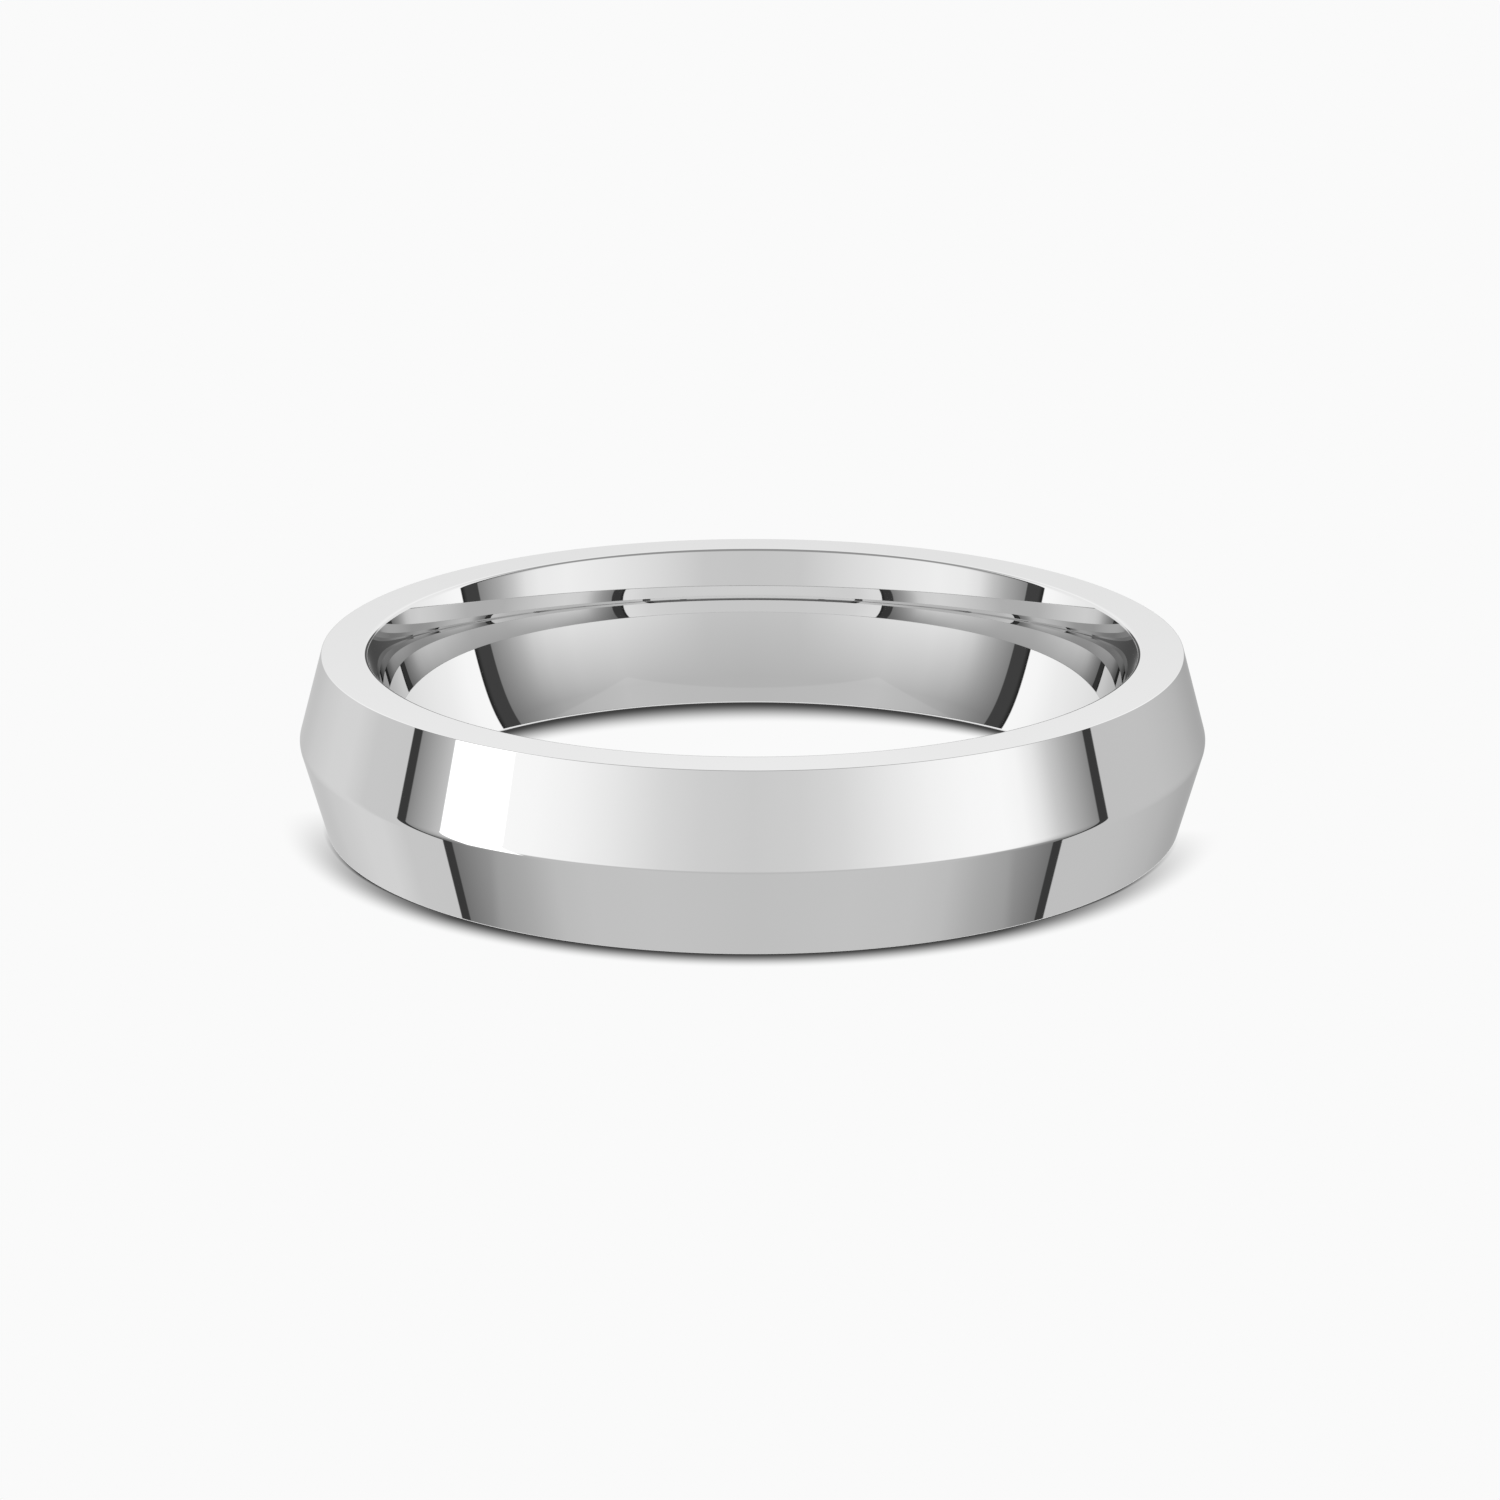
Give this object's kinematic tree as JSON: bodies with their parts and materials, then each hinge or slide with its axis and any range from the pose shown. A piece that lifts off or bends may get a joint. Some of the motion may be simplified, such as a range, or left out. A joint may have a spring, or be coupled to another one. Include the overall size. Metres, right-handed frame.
{
  "type": "wedding band",
  "caption": "Plain polished knife-edge ring with flat edge faces and a domed comfort-fit inside.",
  "frame": {"origin": "centre of the finger opening at mid-width", "axes": "+Z along the finger, square to both edge faces; the band lies flat on the face at -Z"},
  "size_m": [0.0208, 0.0208, 0.004],
  "materials": {
    "polished_white_metal": "mirror-polished rhodium-plated white gold"
  },
  "bodies": {
    "root": {"band": "polished_white_metal"}
  },
  "joints": []
}
